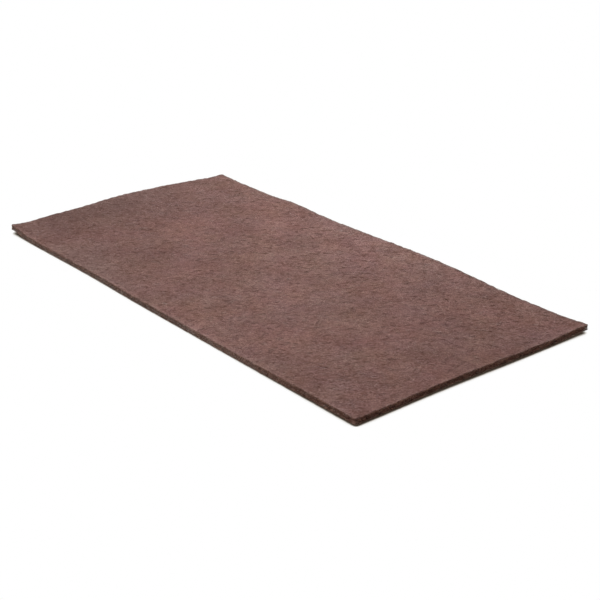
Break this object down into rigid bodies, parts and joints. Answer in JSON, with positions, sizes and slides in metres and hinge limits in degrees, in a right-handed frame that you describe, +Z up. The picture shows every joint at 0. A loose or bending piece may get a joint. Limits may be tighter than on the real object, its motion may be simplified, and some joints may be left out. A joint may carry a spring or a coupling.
{
  "type": "floor scrubbing pad",
  "caption": "Rectangular sheet of resin-bonded fibre web that a floor machine rubs over the floor to strip or scrub it.",
  "frame": {"origin": "middle of the pad in plan, at the floor it rests on", "axes": "+X along the pad, +Y across it, +Z up out of the face that does not rest on the floor"},
  "size_m": [0.7112, 0.3556, 0.0149],
  "materials": {
    "maroon_web": "matt open fibre web, maroon brown"
  },
  "bodies": {
    "root": {"scrubbing_pad": "maroon_web"}
  },
  "joints": []
}
